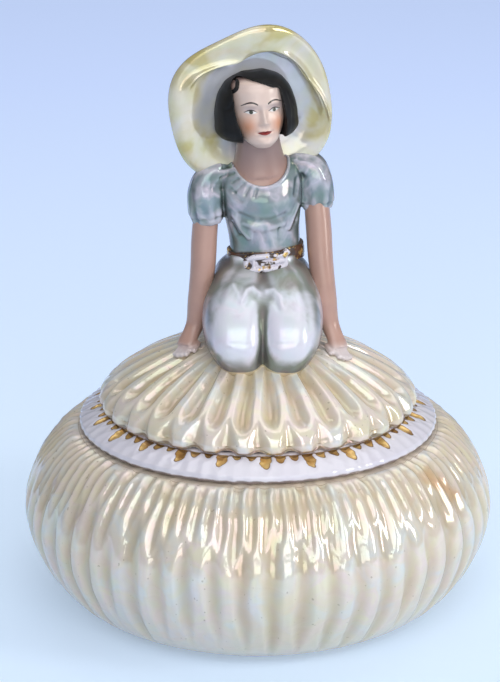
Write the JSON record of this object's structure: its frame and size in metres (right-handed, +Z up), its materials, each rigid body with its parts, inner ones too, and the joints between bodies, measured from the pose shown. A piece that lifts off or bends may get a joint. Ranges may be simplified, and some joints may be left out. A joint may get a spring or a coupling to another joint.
{
  "type": "porcelain powder box",
  "caption": "Round fluted porcelain powder box with a lift-off lid; a kneeling figure in a sun hat on the lid serves as its handle.",
  "frame": {"origin": "centre of the bowl's foot ring, on the surface it stands on", "axes": "+Z up through the lid and the figure; the figure faces -Y; its own left is +X"},
  "size_m": [0.13, 0.13, 0.1613],
  "materials": {
    "pearl_lustre": "glossy cream glaze with a pearly iridescent lustre, olive tan in the flutes",
    "white_glaze": "glossy white glaze with worn gilding in the pleats",
    "pearl_white": "glossy white lustre, grey green in the folds",
    "yellow_lustre": "glossy yellow lustre, pale grey towards the head",
    "skin_glaze": "fired rosy enamel",
    "black_glaze": "glossy black enamel",
    "brown_gilt": "brown enamel with worn gilding",
    "gilt_white": "white glaze with gilt edges"
  },
  "bodies": {
    "bowl": {"bowl": "pearl_lustre"},
    "lid": {"lid_dome": "pearl_lustre", "lid_frill": "white_glaze", "locating_ring": "white_glaze", "figure_legs": "pearl_white", "figure_torso": "pearl_white", "neck_and_head": "skin_glaze", "belt": "brown_gilt", "belt_buckle": "gilt_white", "hair": "black_glaze", "sun_hat": "yellow_lustre", "right_sleeve": "pearl_white", "right_arm": "skin_glaze", "right_shoe": "black_glaze", "left_sleeve": "pearl_white", "left_arm": "skin_glaze", "left_shoe": "black_glaze"}
  },
  "joints": [
    {"name": "lid_lift", "type": "slide", "parent": "bowl", "child": "lid", "axis": [0, 0, 1], "range_m": [0, 0.06]}
  ]
}
